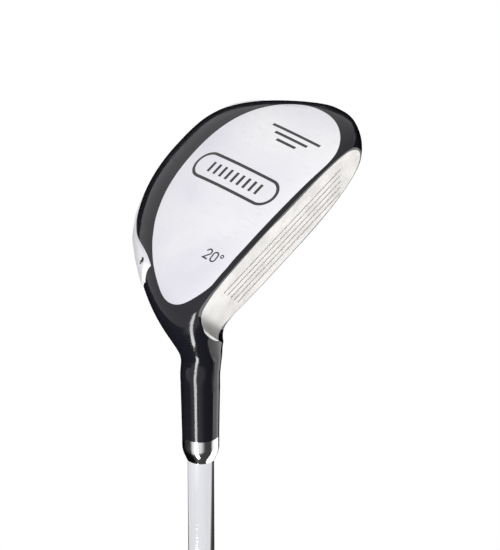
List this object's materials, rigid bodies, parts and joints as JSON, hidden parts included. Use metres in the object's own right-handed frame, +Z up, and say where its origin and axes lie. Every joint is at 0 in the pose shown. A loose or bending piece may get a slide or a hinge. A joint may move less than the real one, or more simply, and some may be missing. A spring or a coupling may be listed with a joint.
{
  "type": "hybrid golf club",
  "caption": "Hybrid golf club: hollow steel head with a polished sole plate, scored face and black crown, on a chrome stepped shaft with a black rubber grip.",
  "frame": {"origin": "lowest point of the sole, where the club rests on the ground at address", "axes": "+X from heel to toe, +Y towards the target, +Z up; the shaft leans 30 degrees from upright towards -X and stands at 60 degrees to the ground"},
  "size_m": [0.6001, 0.0785, 0.8807],
  "materials": {
    "black_head": "gloss black coating on steel",
    "black_crown": "gloss black paint on a steel crown",
    "polished_sole": "polished plate",
    "blasted_face": "fine bead-blasted steel",
    "black_enamel": "black enamel filling, flush",
    "satin_bar": "satin steel",
    "screw_steel": "dark oxide",
    "hot_melt": "soft glue, waxy",
    "stop_plug": "matt black",
    "silver_ferrule": "bright silver collar",
    "epoxy": "cured epoxy",
    "shaft_chrome": "chrome plated steel",
    "tip_brass": "machined brass",
    "band_film": "black gloss film, blank",
    "tape": "pale adhesive tape",
    "grip_rubber": "matt black rubber",
    "cap_rubber": "smoother black rubber",
    "ring_paint": "pale grey paint filling"
  },
  "bodies": {
    "root": {"head_body": "black_head", "crown_shell": "black_crown", "sole_plate": "polished_sole", "face_plate": "blasted_face", "badge_inlay": "black_enamel", "toe_mark_inlay": "black_enamel", "loft_mark_inlay": "black_enamel", "rear_weight_bar": "satin_bar", "weight_bar_screws": "screw_steel", "hot_melt_pad": "hot_melt", "hosel_stop": "stop_plug", "ferrule": "silver_ferrule", "epoxy_bond": "epoxy", "shaft": "shaft_chrome", "tip_weight": "tip_brass", "shaft_band": "band_film", "grip_tape": "tape", "grip": "grip_rubber", "grip_cap": "cap_rubber", "grip_rings": "ring_paint"}
  },
  "joints": []
}
